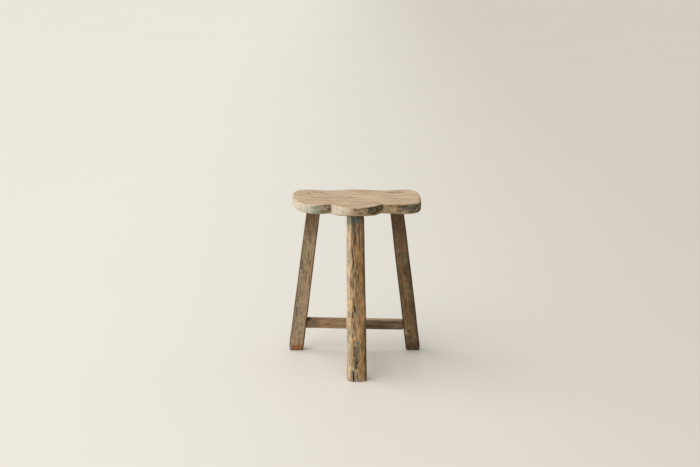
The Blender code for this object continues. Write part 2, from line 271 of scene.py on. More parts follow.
def split(surface, side, across, start, end, offsets, width, depth, tint=1.0):
    """Opens a drying crack along the grain, on the face that looks along side. Its offsets across
    the grain are evenly spaced from start to end."""
    along = surface.points[:, 0]
    near = np.flatnonzero((along > start - 0.002) & (along < end + 0.002))
    along = along[near]
    line = np.interp(along, np.linspace(start, end, len(offsets)), offsets)
    steps = np.column_stack([along * 160, along * 0 + start * 900, along * 0])
    wander = lattice_noise(steps) * width * 0.35
    quarter = 0.3 * (end - start)
    ends = smoothstep(start - 0.002, start + quarter, along)
    ends *= 1 - smoothstep(end - quarter, end + 0.002, along)
    away = abs(surface.points[near, across] - line - wander) / (width / 2 * (0.4 + 0.6 * ends))
    profile = np.exp(-away ** 2) * surface.facing(side)[near] * ends
    surface.points[near] -= np.outer(profile * depth, side)
    surface.mask("crack_and_shade", profile * tint, near)


def fine_splits(surface, side, across, reach, count, seed):
    """Scatters short hair cracks over a face; reach is ((x low, x high), (across low, high))."""
    draw = random.Random(seed)
    for _ in range(count):
        length = draw.uniform(0.012, 0.06)
        start = draw.uniform(reach[0][0], reach[0][1] - length)
        middle = draw.uniform(*reach[1])
        lean = draw.uniform(-0.0012, 0.0012)
        offsets = (middle - lean, middle, middle + lean)
        split(surface, side, across, start, start + length, offsets,
              draw.uniform(0.0009, 0.0016), draw.uniform(0.0003, 0.0008), draw.uniform(0.35, 0.8))


def dent(surface, centre, radius, depth, tint=0.0):
    """Presses a small dent at a point of the surface."""
    away = np.linalg.norm((surface.points - np.array(centre)) / np.array(radius), axis=1)
    profile = np.exp(-away ** 2)
    surface.points -= surface.normals * (profile * depth)[:, None]
    if tint:
        surface.mask("crack_and_shade", profile * tint)


def patch(surface, centre, radius):
    """A soft oval mask round a point; radius gives its reach along X, Y and Z."""
    away = np.linalg.norm((surface.points - np.array(centre)) / np.array(radius), axis=1)
    return 1 - smoothstep(0.55, 1.15, away)


# ---- Material graph ----

class Graph:
    """Short words for building a material's nodes."""

    def __init__(self, name):
        self.material = bpy.data.materials.new(name)
        self.material.use_nodes = True
        self.nodes = self.material.node_tree.nodes
        self.links = self.material.node_tree.links
        self.shader = self.nodes["Principled BSDF"]
        self.coords = self.node("ShaderNodeTexCoord").outputs["Object"]

    def node(self, kind, **settings):
        """A new node of a kind, with its settings."""
        made = self.nodes.new(kind)
        for key, value in settings.items():
            setattr(made, key, value)
        return made

    def feed(self, socket, value):
        """Links an output to a socket, or sets the socket to a constant."""
        if isinstance(value, bpy.types.NodeSocket):
            self.links.new(value, socket)
        elif isinstance(value, tuple) and len(value) == 3 and len(socket.default_value) == 4:
            socket.default_value = (*value, 1.0)
        else:
            socket.default_value = value

    def math(self, operation, a, b=0.0, clamp=False):
        """A sum on one or two values."""
        made = self.node("ShaderNodeMath", operation=operation, use_clamp=clamp)
        self.feed(made.inputs[0], a)
        self.feed(made.inputs[1], b)
        return made.outputs[0]

    def vector(self, operation, a, b=(0.0, 0.0, 0.0)):
        """A sum on one or two vectors."""
        made = self.node("ShaderNodeVectorMath", operation=operation)
        self.feed(made.inputs[0], a)
        self.feed(made.inputs[1], b)
        return made.outputs["Value" if operation == "LENGTH" else "Vector"]

    def mix(self, share, a, b, blend="MIX"):
        """Colour a, with a share of colour b over it."""
        made = self.node("ShaderNodeMix", data_type="RGBA", blend_type=blend, clamp_factor=True)
        self.feed(made.inputs["Factor"], share)
        self.feed(made.inputs[6], a)
        self.feed(made.inputs[7], b)
        return made.outputs[2]

    def noise(self, stretch, detail=2.0, roughness=0.5, seed=0.0):
        """Noise from 0 to 1 with its frequency along X, Y and Z in cycles a metre."""
        scaled = self.vector("MULTIPLY", self.coords, stretch)
        moved = self.vector("ADD", scaled, (seed, seed * 0.7, seed * 1.3))
        made = self.node("ShaderNodeTexNoise")
        made.inputs["Scale"].default_value = 1.0
        made.inputs["Detail"].default_value = detail
        made.inputs["Roughness"].default_value = roughness
        self.links.new(moved, made.inputs["Vector"])
        return made.outputs["Fac"]

    def step(self, low, high, value):
        """0 below low, 1 above high, and a soft step between them."""
        made = self.node("ShaderNodeMapRange", interpolation_type="SMOOTHSTEP")
        self.feed(made.inputs["Value"], value)
        self.feed(made.inputs["From Min"], low)
        self.feed(made.inputs["From Max"], high)
        return made.outputs["Result"]

    def attribute(self, name):
        """One of the mesh's masks."""
        made = self.node("ShaderNodeAttribute", attribute_name=name)
        return made.outputs["Fac"]

    def scale(self, value, factor, offset=0.0):
        """value times factor plus offset."""
        made = self.node("ShaderNodeMath", operation="MULTIPLY_ADD")
        self.feed(made.inputs[0], value)
        self.feed(made.inputs[1], factor)
        self.feed(made.inputs[2], offset)
        return made.outputs[0]


def growth_rings(g, pith, ring):
    """The late wood of the growth rings, 0 to 1. The rings sway a little along the grain."""
    bend = g.node("ShaderNodeTexNoise")
    bend.inputs["Scale"].default_value = 1.0
    bend.inputs["Detail"].default_value = 2.0
    g.links.new(g.vector("MULTIPLY", g.coords, (4.0, 16.0, 16.0)), bend.inputs["Vector"])
    sway = g.vector("MULTIPLY", g.vector("SUBTRACT", bend.outputs["Color"], (0.5, 0.5, 0.5)),
                    (0.0, 0.012, 0.012))
    cross = g.vector("MULTIPLY", g.coords, (0.0, 1.0, 1.0))
    from_pith = g.vector("SUBTRACT", g.vector("ADD", cross, sway), (0.0, *pith))
    years = g.math("FRACT", g.scale(g.vector("LENGTH", from_pith), 1 / ring))
    return g.math("MULTIPLY", g.step(0.35, 0.92, years), g.step(1.0, 0.93, years))


def wood(name, early, late, tone, stain_and_shade, worn_and_lit, pith, ring, seed, tints=(), streak=0.5, paint_share=0.8,
         mottle=((45, 130, 130), 1.4)):
    """Old bare softwood. pith is where the tree's heart lies in the piece's Y and Z, and ring the
    growth ring's width. early and late are the two woods of a ring, and tone, stain and worn are
    the colours that its masks bring in; where their masks are laid for it, the tone and stain
    colours and the split colour also paint shade and shadow, and the worn colour paints light. Each
    tint is (colour, stretch, share): soft drifts. mottle is the stretch and amount of the patches
    that are a little lighter and darker."""
    g = Graph(name)
    late_wood = growth_rings(g, pith, ring)
    fibre = g.noise((25, 900, 900), detail=2.0, seed=seed)
    band = g.noise((9, 190, 190), detail=3.0, roughness=0.6, seed=seed + 3)
    cloud = g.noise((12, 32, 32), detail=4.0, roughness=0.6, seed=seed + 5)
    pits = g.noise((60, 420, 420), detail=1.0, seed=seed + 7)
    hairline = g.step(0.67, 0.76, g.noise((10, 330, 330), detail=1.0, seed=seed + 9))

    colour = g.mix(g.scale(late_wood, 0.8), early, late)
    colour = g.mix(g.math("MULTIPLY", g.step(0.42, 0.72, band), streak), colour, late)
    for index, (tint, stretch, share) in enumerate(tints):
        drift = g.noise(stretch, detail=3.0, roughness=0.6, seed=seed + 20 + 3 * index)
        colour = g.mix(g.math("MULTIPLY", g.step(0.45, 0.62, drift), share), colour, tint)
    ragged = g.scale(g.math("ADD", band, cloud), 1.0, -1.0)
    for mask_name, target, depth in (("tone", tone, 0.92), ("stain_and_shade", stain_and_shade, 0.9)):
        mask = g.attribute(mask_name)
        share = g.math("ADD", mask, g.math("MULTIPLY", ragged, g.step(0.0, 0.3, mask)), True)
        colour = g.mix(g.scale(share, depth), colour, g.mix(g.scale(late_wood, 0.4), target, late))
    wear_and_light_share = g.math("MULTIPLY", g.attribute("worn_and_lit"), g.step(0.15, 0.5, cloud))
    colour = g.mix(wear_and_light_share, colour, worn_and_lit)
    colour = g.mix(g.scale(g.attribute("endgrain"), 0.25), colour, late)

    flake = g.noise((70, 190, 190), detail=4.0, roughness=0.7, seed=seed + 11)
    held = g.math("MULTIPLY", g.attribute("paint"), g.scale(flake, 2.4, -0.2))
    paint = g.scale(g.step(0.2, 1.0, held), paint_share)
    green = g.mix(g.step(0.42, 0.6, cloud), PAINT, DARK_PAINT)
    colour = g.mix(paint, colour, g.mix(wear_and_light_share, green, MINT))
    stretch, amount = mottle
    blotch = g.noise(stretch, detail=3.0, roughness=0.65, seed=seed + 13)
    shade = g.math("MULTIPLY", g.scale(blotch, amount, 1.0 - amount / 2),
                   g.scale(g.math("ADD", fibre, pits), 0.5, 0.5))
    colour = g.mix(1.0, colour, grey(g, shade), "MULTIPLY")
    dark = g.math("MAXIMUM", g.step(0.15, 0.85, g.attribute("crack_and_shade")), g.scale(hairline, 0.4))
    g.links.new(g.mix(dark, colour, SPLIT_AND_SHADE), g.shader.inputs["Base Color"])

    rough = g.scale(g.math("ADD", fibre, cloud), 0.22, 0.52)
    rough = g.math("ADD", rough, g.scale(dark, 0.2), True)
    g.links.new(rough, g.shader.inputs["Roughness"])
    g.shader.inputs["Specular IOR Level"].default_value = WOOD_SPECULAR
    relief = g.math("ADD", g.scale(late_wood, 0.5), g.scale(fibre, 0.5))
    relief = g.math("ADD", relief, g.scale(g.math("ADD", band, pits), 0.7))
    relief = g.math("SUBTRACT", relief, g.scale(dark, 1.2))
    emboss(g, g.math("ADD", relief, g.scale(paint, 0.35)))
    return g.material


def emboss(g, height):
    """Fine relief under the shader, from 0 to 1 of BUMP_DEPTH."""
    bump = g.node("ShaderNodeBump")
    bump.inputs["Strength"].default_value = BUMP_STRENGTH
    bump.inputs["Distance"].default_value = BUMP_DEPTH
    g.links.new(height, bump.inputs["Height"])
    g.links.new(bump.outputs["Normal"], g.shader.inputs["Normal"])


def grey(g, value):
    """One value as a colour."""
    made = g.node("ShaderNodeCombineColor")
    for channel in range(3):
        g.links.new(value, made.inputs[channel])
    return made.outputs[0]


# ---- Seat ----

# Depth under the top where the plank's upright wall starts, and the outline points in a batch
RIM_LEVEL = 0.004
RIM_BATCH = 40

# Along the front of the rim from its left end: x, and how pale, how dark and how green it is. The
# dark is partly dirt and dark paint and partly painted shade on the flanks that face right, away
# from the window
RIM_COLOURS = ((-0.170, 1.00, 0.00, 0.10), (-0.148, 1.00, 0.00, 0.35), (-0.118, 0.90, 0.00, 0.60),
               (-0.108, 0.60, 0.05, 1.00), (-0.097, 0.40, 0.10, 1.00), (-0.090, 0.00, 0.45, 0.30),
               (-0.070, 0.00, 0.90, 0.40), (-0.066, 0.00, 0.90, 0.20), (-0.063, 1.00, 0.00, 0.40),
               (-0.034, 0.90, 0.00, 0.50), (-0.026, 0.50, 0.00, 0.10), (-0.012, 0.25, 0.10, 0.00),
               (-0.006, 0.05, 0.55, 0.20), (0.024, 0.00, 0.60, 0.30), (0.030, 0.00, 0.98, 0.60),
               (0.050, 0.00, 1.00, 0.45), (0.066, 0.00, 1.00, 0.20), (0.070, 0.15, 0.45, 0.40),
               (0.086, 0.05, 0.60, 0.30), (0.100, 0.00, 0.75, 0.30), (0.130, 0.00, 0.80, 0.40),
               (0.138, 0.00, 1.00, 0.60), (0.158, 0.00, 1.00, 0.40), (0.170, 0.00, 1.00, 0.10))


def rim_samples(node):
    """Points along the seat's outline, in plan, read from the CAD plank's upright wall."""
    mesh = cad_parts[node].data
    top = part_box(node)[1].z
    points = np.array([vertex.co for vertex in mesh.vertices])
    pairs = np.array([edge.vertices for edge in mesh.edges])
    level = abs(points[pairs, 2] - (top - RIM_LEVEL)).max(1) < 0.0003
    a, b = points[pairs[level, 0], :2], points[pairs[level, 1], :2]
    steps = np.linspace(0, 1, 12)[:, None, None]
    return (a + (b - a) * steps).reshape(-1, 2)


def rim_distance(surface, rim):
    """How far each vertex is from the outline, in plan."""
    flat = surface.points[:, :2]
    nearest = np.full(len(flat), 1.0)
    for first in range(0, len(rim), RIM_BATCH):
        gaps = flat[:, None, :] - rim[None, first:first + RIM_BATCH, :]
        nearest = np.minimum(nearest, (gaps ** 2).sum(2).min(1))
    return np.sqrt(nearest)


def round_rim(seat, inset, half, radius, side):
    """Rounds the rim at the top (side 1) or the bottom (side -1) to a radius for each vertex."""
    steepness = np.linalg.norm(seat.normals[:, :2], axis=1)
    outward = seat.normals[:, :2] / np.maximum(steepness, 1e-6)[:, None]
    u = radius - inset
    v = side * seat.points[:, 2] - (half - radius)
    reach = np.hypot(u, v)
    outside = (u > 0) & (v > 0) & (reach > radius)
    pull = np.where(outside, 1 - radius / np.maximum(reach, 1e-6), 0)
    seat.points[:, :2] -= outward * (u * pull * smoothstep(0.05, 0.3, steepness))[:, None]
    seat.points[:, 2] -= side * v * pull
    seat.write()


def shape_seat(seat, rim):
    """Dishes the top, thins the front lobe and rubs the rim round, most at the two ends."""
    half = abs(seat.points[:, 2]).max()
    inset = rim_distance(seat, rim)
    wear_arrises(seat, 5, 0.5, 1.0, 1, bare=0.3)
    x, y, z = seat.points.T
    depth_share = np.clip((half - z) / (2 * half), 0, 1)
    front_lobe = smoothstep(0.085, 0.114, -y)
    outer = 1 - smoothstep(0.0, 0.03, inset)
    left_rim = smoothstep(0.08, 0.15, -x) * outer
    right_rim = smoothstep(0.06, 0.14, x) * outer
    hewn_under = smoothstep(0.002, 0.022, inset)
    lift = 0.0046 * front_lobe + 0.0025 * left_rim - 0.0018 * right_rim - 0.0012 * hewn_under
    dish = 0.0016 * np.exp(-(x / 0.11) ** 2 - (y / 0.07) ** 2)
    seat.points[:, 2] += depth_share * lift - (1 - depth_share) * dish
    seat.write()
    in_front = 1 - smoothstep(0.02, 0.05, y)
    left_end = smoothstep(0.125, 0.16, -x) * in_front
    right_end = smoothstep(0.130, 0.155, x) * in_front
    left_front = smoothstep(0.05, 0.12, -x) * smoothstep(0.03, 0.06, -y)
    lobe_left = smoothstep(0.0, 0.04, -x) * smoothstep(0.075, 0.09, -y)
    uneven = 0.0012 * seat.noise((20, 20, 0), 5)
    worn_top = np.maximum(0.0038 * left_end + 0.0060 * right_end, 0.0023 * (left_front + lobe_left))
    round_rim(seat, inset, half, 0.0040 + worn_top + uneven, 1)
    round_rim(seat, inset, half, 0.0050 + 0.0045 * left_end + 0.002 * lobe_left + uneven, -1)

    wall = 1 - smoothstep(0.45, 0.8, abs(seat.normals[:, 2]))
    wall *= 1 - smoothstep(0.007, 0.012, inset)
    seat.push(0.0012 * seat.noise((16, 16, 30), 2) * wall)
    seat.push(0.0006 * seat.noise((70, 70, 90), 3) * wall)
    seat.push(0.0004 * seat.noise((9, 60, 60), 4) * (1 - wall))
    seat.write()
    return half, wall


# Drying cracks of the top: x where each starts and ends, its y at even steps between them, and
# its width, depth and tint
SEAT_CRACKS = (
    (0.066, 0.140, (0.0734, 0.0735, 0.0733), 0.0048, 0.0012, 1.0),
    (0.012, 0.084, (0.024, 0.0246, 0.0238), 0.004, 0.0008, 0.45),
    (0.030, 0.110, (0.020, 0.019, 0.0196), 0.004, 0.0006, 0.35),
    (-0.150, -0.060, (0.056, 0.0555, 0.056), 0.004, 0.0006, 0.4),
    (0.030, 0.074, (0.040, 0.0405, 0.040), 0.004, 0.0006, 0.4),
    (-0.140, -0.070, (-0.033, -0.0345, -0.0335), 0.004, 0.0006, 0.45),
    (-0.050, 0.010, (-0.093, -0.0925), 0.0036, 0.0006, 0.4),
    (0.090, 0.140, (-0.020, -0.0205), 0.0036, 0.0006, 0.4),
    (0.002, 0.032, (-0.041, -0.0414), 0.004, 0.0007, 0.5),
    (0.034, 0.064, (-0.0408, -0.0412), 0.0036, 0.0007, 0.45),
    (-0.140, -0.100, (0.012, 0.0134, 0.0116), 0.0036, 0.0006, 0.4),
    (-0.125, -0.085, (-0.007, -0.008), 0.0036, 0.0006, 0.35),
    (-0.015, 0.015, (-0.069, -0.070), 0.0036, 0.0006, 0.45),
    (-0.045, -0.020, (-0.056, -0.057), 0.0036, 0.0006, 0.4),
)

# Small dents of the top: x, y and tint
SEAT_DENTS = (
    (-0.127, 0.062, 0.8), (-0.119, 0.058, 0.6), (-0.080, 0.062, 0.95), (-0.087, 0.068, 0.6),
    (-0.066, 0.017, 0.75), (-0.0135, 0.026, 0.95), (-0.136, -0.047, 0.6), (-0.056, -0.062, 0.5),
    (-0.112, 0.018, 0.5), (-0.098, 0.006, 0.4), (-0.110, -0.030, 0.45), (0.104, 0.008, 0.3),
    (-0.076, 0.000, 0.45), (-0.010, -0.052, 0.6), (-0.004, 0.066, 0.35), (-0.094, 0.030, 0.4),
)
SEAT_DENT_RADIUS = (0.0052, 0.0032, 0.005)
SEAT_DENT_DEPTH = 0.0008

# The part of the plank, in x and y, that has hair cracks
HAIRLINE_FIELD = ((-0.155, 0.155), (-0.062, 0.10))


def mark_seat_top(seat, half):
    """The cracks, open grain and dents of the top, and hair cracks underneath."""
    top = (0, 0, 1)
    underside = (0, 0, -1)
    for crack_and_shade in SEAT_CRACKS:
        split(seat, top, 1, *crack_and_shade)
    fine_splits(seat, top, 1, HAIRLINE_FIELD, 60, SEED)
    fine_splits(seat, underside, 1, HAIRLINE_FIELD, 30, SEED + 1)
    for x, y, tint in SEAT_DENTS:
        dent(seat, (x, y, half), SEAT_DENT_RADIUS, SEAT_DENT_DEPTH, 0.85 * tint)
    seat.write()


def colour_seat(seat, wall):
    """Masks of the rim, from RIM_COLOURS in front and at the two ends, and mostly brown behind. The
    rim's dark is partly dirt and dark paint and partly painted shade on the flanks that face right,
    and its lower lip is painted a little lighter as a painted highlight of light from the floor.
    """
    x, _, z = seat.points.T
    mottle = seat.noise((34, 34, 60), 6)
    spots = seat.noise((90, 90, 150), 7)
    flecks = smoothstep(0.15, 0.45, seat.noise((120, 120, 200), 8))
    in_front = np.maximum(smoothstep(-0.3, 0.2, -seat.normals[:, 1]), smoothstep(0.14, 0.155, abs(x)))
    stations = np.array(RIM_COLOURS)
    pale, dark, green = (np.interp(x, stations[:, 0], column) for column in stations[:, 1:].T)
    pale = in_front * pale
    dark = in_front * dark + (1 - in_front) * 0.5
    green = in_front * green + (1 - in_front) * 0.4
    # Painted highlight: the lower lip is painted a little lighter and less dark, as light thrown up from
    # the floor would make it
    bounce_lit_lip = 1 - smoothstep(-0.0105, -0.0065, z)
    dark = dark * (1 - 0.55 * bounce_lit_lip * (1 - smoothstep(0.13, 0.14, x)))
    seat.mask("worn_and_lit", wall * (pale * (0.95 + 0.3 * mottle) + 0.12 * bounce_lit_lip))
    seat.mask("worn_and_lit", wall * flecks * (1 - dark))
    seat.mask("tone", wall * (1 - pale) * (0.85 + 0.5 * mottle))
    # Painted shade with dirt and dark paint: the stain lays on the rim's dark, darkest on the flanks that
    # face right, away from the window
    seat.mask("stain_and_shade", wall * dark * (1.05 + 1.8 * spots))
    seat.mask("paint", wall * green * (0.9 + 0.8 * mottle))
    # Painted shade: the darkest of the rim's dark is laid on near black through the crack mask
    seat.mask("crack_and_shade", wall * smoothstep(0.85, 1.0, dark) * (0.44 + 0.25 * spots))
    seat.mask("tone", 0.6 * smoothstep(0.3, 0.8, -seat.normals[:, 2]))


def make_seat():
    """The scalloped plank, bare and grey-pink on top, its rim carrying what is left of its paint and
    painted shade on the flanks that face right.
    """
    low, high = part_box("seat")
    centre = (low + high) / 2
    seat = remeshed("seat", "seat_plank", axes(centre, (1, 0, 0), (0, 1, 0)), SEAT_CELL)
    rim = rim_samples("seat") - np.array(centre)[:2]
    half, wall = shape_seat(seat, rim)
    mark_seat_top(seat, half)
    colour_seat(seat, wall)
    tints = (((0.42, 0.28, 0.175), (12, 95, 95), 0.6), ((0.62, 0.465, 0.355), (11, 60, 60), 0.6),
             ((0.50, 0.37, 0.22), (7, 28, 28), 0.5))
    material = wood("seat_wood", early=(0.575, 0.435, 0.30), late=(0.36, 0.25, 0.155),
                    tone=(0.325, 0.20, 0.082), stain_and_shade=(0.042, 0.034, 0.017), worn_and_lit=CREAM,
                    pith=(0.012, -0.062), ring=0.0046, seed=1.0, tints=tints, streak=0.4,
                    mottle=((16, 130, 130), 1.2))
    place(seat, "seat", material)


# ---- Legs ----

# The stretch of a leg that has hair cracks
HAIRLINE_REACH = (0.01, 0.42)


def leg_surface(node, name):
    """A leg's piece: X runs up the leg from the middle of its foot, Y to the right, Z to the back.
    Returns it with its whole length and the height of its shoulder under the seat."""
    foot = end_centre(node, False)
    crown = end_centre(node, True)
    leg = remeshed(node, name, axes(foot, crown - foot, (1, 0, 0)), LEG_CELL)
    run = crown - foot
    shoulder = run.length * (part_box("seat")[0].z - foot.z) / run.z
    return leg, run.length, shoulder


def seat_tenon(leg, length, shoulder, crease=0.0):
    """Swells the tenon tight in its mortise, and gives its crown the seat's bare colour, with a dark
    line across its middle as strong as crease."""
    x = leg.points[:, 0]
    leg.push(0.0002 * smoothstep(shoulder, shoulder + 0.004, x))
    leg.write()
    crown = smoothstep(length - 0.004, length - 0.002, x)
    leg.mask("worn_and_lit", crown)
    for name in ("tone", "stain_and_shade", "paint", "crack_and_shade"):
        leg.masks[name] = leg.masks.get(name, np.zeros(len(x))) * (1 - crown)
    leg.mask("crack_and_shade", crease * crown * np.exp(-(leg.points[:, 2] / 0.0022) ** 2))


# Drying cracks of the front face: height where each starts and ends, its place across the leg at
# even steps between them, and its width, depth and tint
FRONT_LEG_CRACKS = (
    (0.350, 0.392, (-0.0024, -0.0006, -0.0003, 0.000), 0.003, 0.0034, 1.0),
    (0.283, 0.356, (-0.0086, -0.0054, -0.0066, -0.0076, -0.003), 0.0026, 0.0026, 0.75),
    (0.236, 0.280, (-0.0128, -0.0129, -0.0122), 0.0024, 0.002, 0.75),
    (0.230, 0.262, (-0.0066, -0.0064), 0.0022, 0.0018, 0.75),
    (0.238, 0.276, (0.0024, 0.0011, 0.0005), 0.0024, 0.002, 0.55),
    (0.176, 0.200, (-0.0028, -0.0032), 0.0036, 0.0032, 0.95),
    (0.160, 0.184, (-0.0074, -0.0092), 0.0034, 0.0028, 0.85),
    (0.112, 0.127, (-0.0084, -0.0083), 0.0032, 0.0024, 0.8),
    (0.100, 0.110, (-0.0062, -0.0057), 0.0026, 0.0022, 0.85),
    (0.060, 0.094, (-0.006, -0.0056, -0.0061), 0.0042, 0.0024, 1.0),
    (0.028, 0.044, (-0.001, -0.0004), 0.003, 0.0024, 0.8),
    (-0.010, 0.034, (-0.007, -0.008, -0.0094), 0.0038, 0.004, 1.0),
    (-0.010, 0.032, (0.003, 0.0033, 0.0031), 0.0022, 0.0016, 0.6),
    (0.330, 0.420, (0.011, 0.0095, 0.0104), 0.0032, 0.0016, 0.75),
    (0.355, 0.425, (-0.010, -0.0075, -0.009), 0.0022, 0.0012, 0.5),
    (0.340, 0.415, (0.0035, 0.005, 0.004), 0.0022, 0.0012, 0.45),
)

# Where old paint is left on the front leg: centre, reach along X, Y and Z, and strength
FRONT_LEG_PAINT = (
    ((0.422, -0.016, -0.012), (0.020, 0.016, 0.03), 1.00),
    ((0.421, 0.001, -0.016), (0.014, 0.014, 0.02), 0.90),
    ((0.390, -0.002, -0.016), (0.030, 0.008, 0.02), 0.35),
    ((0.330, -0.009, -0.016), (0.020, 0.003, 0.02), 0.5),
    ((0.295, -0.0065, -0.016), (0.022, 0.003, 0.02), 0.65),
    ((0.260, 0.0012, -0.016), (0.024, 0.003, 0.02), 0.75),
    ((0.228, -0.0005, -0.016), (0.008, 0.003, 0.02), 0.6),
    ((0.205, -0.0065, -0.016), (0.014, 0.003, 0.02), 0.55),
    ((0.183, 0.0012, -0.016), (0.026, 0.0034, 0.02), 0.75),
    ((0.099, -0.001, -0.016), (0.003, 0.013, 0.02), 0.95),
    ((0.0925, 0.013, -0.016), (0.003, 0.007, 0.02), 0.75),
    ((0.105, 0.004, -0.016), (0.010, 0.007, 0.02), 0.45),
    ((0.078, 0.002, -0.016), (0.018, 0.006, 0.02), 0.45),
    ((0.012, -0.0055, -0.016), (0.026, 0.0034, 0.02), 0.95),
    ((0.116, -0.020, -0.010), (0.012, 0.006, 0.02), 0.45),
    ((0.035, -0.020, -0.010), (0.030, 0.008, 0.02), 0.30),
    ((0.018, 0.018, -0.016), (0.018, 0.005, 0.02), 0.45),
)


def shape_front_leg(leg, shoulder):
    """Rounds the front leg's arrises, makes its hewn faces uneven and wears its foot."""
    round_corners(leg, 0.0, shoulder, {(1, -1): 0.0105, (1, 1): 0.008, (-1, 1): 0.007})
    wear_arrises(leg, 22, 0.6, 1.0, 11, bare=0.5)
    x = leg.points[:, 0]
    body = smoothstep(0.0, 0.02, x) * (1 - smoothstep(shoulder - 0.012, shoulder - 0.002, x))
    leg.push(0.0011 * leg.noise((9, 34, 34), 12) * body)
    leg.push(0.0005 * leg.noise((16, 160, 160), 13) * body)
    foot = 1 - smoothstep(0.0, 0.008, x)
    leg.push(-0.0012 * foot * (0.7 + 0.8 * leg.noise((50, 90, 90), 14)))
    leg.write()


def crack_front_leg(leg):
    """The front leg's long drying cracks, two knocks on its face, and hair cracks all round."""
    front = (0, 0, -1)
    for crack_and_shade in FRONT_LEG_CRACKS:
        split(leg, front, 1, *crack_and_shade)
    dent(leg, (0.0472, 0.0021, -0.016), (0.0034, 0.003, 0.02), 0.0035, 1.0)
    dent(leg, (0.2056, 0.0097, -0.015), (0.0034, 0.0034, 0.02), 0.0014, 0.55)
    fine_splits(leg, front, 1, (HAIRLINE_REACH, (-0.012, 0.018)), 90, SEED + 2)
    fine_splits(leg, (0, -1, 0), 2, (HAIRLINE_REACH, (-0.004, 0.012)), 16, SEED + 3)
    fine_splits(leg, (0, 1, 0), 2, (HAIRLINE_REACH, (-0.012, 0.012)), 30, SEED + 4)
    fine_splits(leg, (0, 0, 1), 1, (HAIRLINE_REACH, (-0.018, 0.018)), 40, SEED + 5)
    leg.write()


def colour_front_leg(leg, shoulder):
    """Ochre on its right, painted shade on its right side, the seat's painted shadow at its top and near
    black just under the seat, and dirt round the stretcher's tenon.
    """
    x, y, _ = leg.points.T
    looks_front = smoothstep(0.2, 0.7, -leg.normals[:, 2])
    drift = leg.noise((22, 60, 60), 16)
    ochre = 0.20 + 0.75 * smoothstep(-0.002, 0.012, y + 0.004 * drift)
    leg.mask("tone", looks_front * ochre * smoothstep(-0.014, -0.008, y))
    # Painted shade: the side that faces right, away from the window, is toned dark
    leg.mask("tone", smoothstep(0.2, 0.6, leg.normals[:, 1]) * 0.95)
    bleached = 0.7 - 0.2 * smoothstep(0.395, 0.410, x)
    leg.mask("worn_and_lit", bleached * smoothstep(0.3, 0.8, -leg.normals[:, 1]))
    leg.mask("tone", smoothstep(0.5, 0.9, leg.normals[:, 2]) * 0.6)
    # Painted shadow: the top of the front face is darkened where the seat's shadow falls
    seat_shadow = smoothstep(0.355, 0.43, x + 0.03 * drift) * smoothstep(-0.017, -0.002, y)
    middle = np.exp(-((y + 0.002) / 0.007) ** 2)
    round_tenon = np.maximum(patch(leg, (0.078, 0.000, -0.016), (0.020, 0.0075, 0.02)),
                             patch(leg, (0.058, 0.0015, -0.016), (0.016, 0.009, 0.02)))
    leg.mask("stain_and_shade", looks_front * (0.80 * seat_shadow + 0.22 * middle * (0.6 + drift)))
    ragged_patch = smoothstep(0.3, 0.9, round_tenon * (0.95 + 1.1 * leg.noise((70, 150, 150), 17)))
    leg.mask("stain_and_shade", looks_front * ragged_patch)
    # Painted shadow: near black just under the seat, on the right, as the seat's contact shadow
    seat_contact_shadow = smoothstep(shoulder - 0.014, shoulder - 0.003, x) * smoothstep(-0.004, 0.008, y)
    leg.mask("crack_and_shade", 0.55 * seat_contact_shadow)
    # Painted shade: the side that faces right is stained dark as well
    leg.mask("stain_and_shade", smoothstep(0.40, 0.75, leg.normals[:, 1]))
    leg.mask("stain_and_shade", 0.7 * (1 - smoothstep(0.002, 0.005, x)))
    leg.mask("endgrain", abs(leg.normals[:, 0]) ** 2)


def paint_front_leg(leg):
    """Old paint, along the cracks and in the places of FRONT_LEG_PAINT."""
    near_crack = leg.spread(leg.masks["crack_and_shade"], 8)
    paint = smoothstep(0.1, 0.5, near_crack) * (0.30 + 0.45 * leg.noise((40, 40, 40), 15))
    for centre, radius, strength in FRONT_LEG_PAINT:
        paint = np.maximum(paint, patch(leg, centre, radius) * strength)
    leg.mask("paint", paint)


def make_front_leg():
    """The front leg: hewn, bleached on its left facet, cracked down its face, with old paint left
    in the cracks."""
    leg, length, shoulder = leg_surface("front_leg", "front_leg_post")
    shape_front_leg(leg, shoulder)
    crack_front_leg(leg)
    colour_front_leg(leg, shoulder)
    paint_front_leg(leg)
    seat_tenon(leg, length, shoulder)
    tints = (((0.68, 0.42, 0.25), (20, 170, 170), 0.85), ((0.48, 0.20, 0.045), (26, 190, 190), 0.8),
             ((0.25, 0.24, 0.12), (24, 160, 160), 0.65), ((0.13, 0.10, 0.07), (32, 260, 260), 0.7))
    material = wood("front_leg_wood", early=(0.57, 0.41, 0.25), late=(0.38, 0.225, 0.10),
                    tone=(0.235, 0.122, 0.032), stain_and_shade=(0.062, 0.048, 0.036),
                    worn_and_lit=(0.50, 0.385, 0.26), pith=(0.004, 0.030), ring=0.0036, seed=4.0,
                    tints=tints, streak=0.5, mottle=((50, 190, 190), 2.6))
    place(leg, "front_leg", material)


# A rear leg's faces: where each looks, its axis across the grain, and the reach and number of its
# hair cracks
REAR_LEG_FACES = (((0, 0, -1), 1, 0.014, 30), ((0, 0, 1), 1, 0.014, 26),
                  ((0, 1, 0), 2, 0.008, 14), ((0, -1, 0), 2, 0.008, 14))

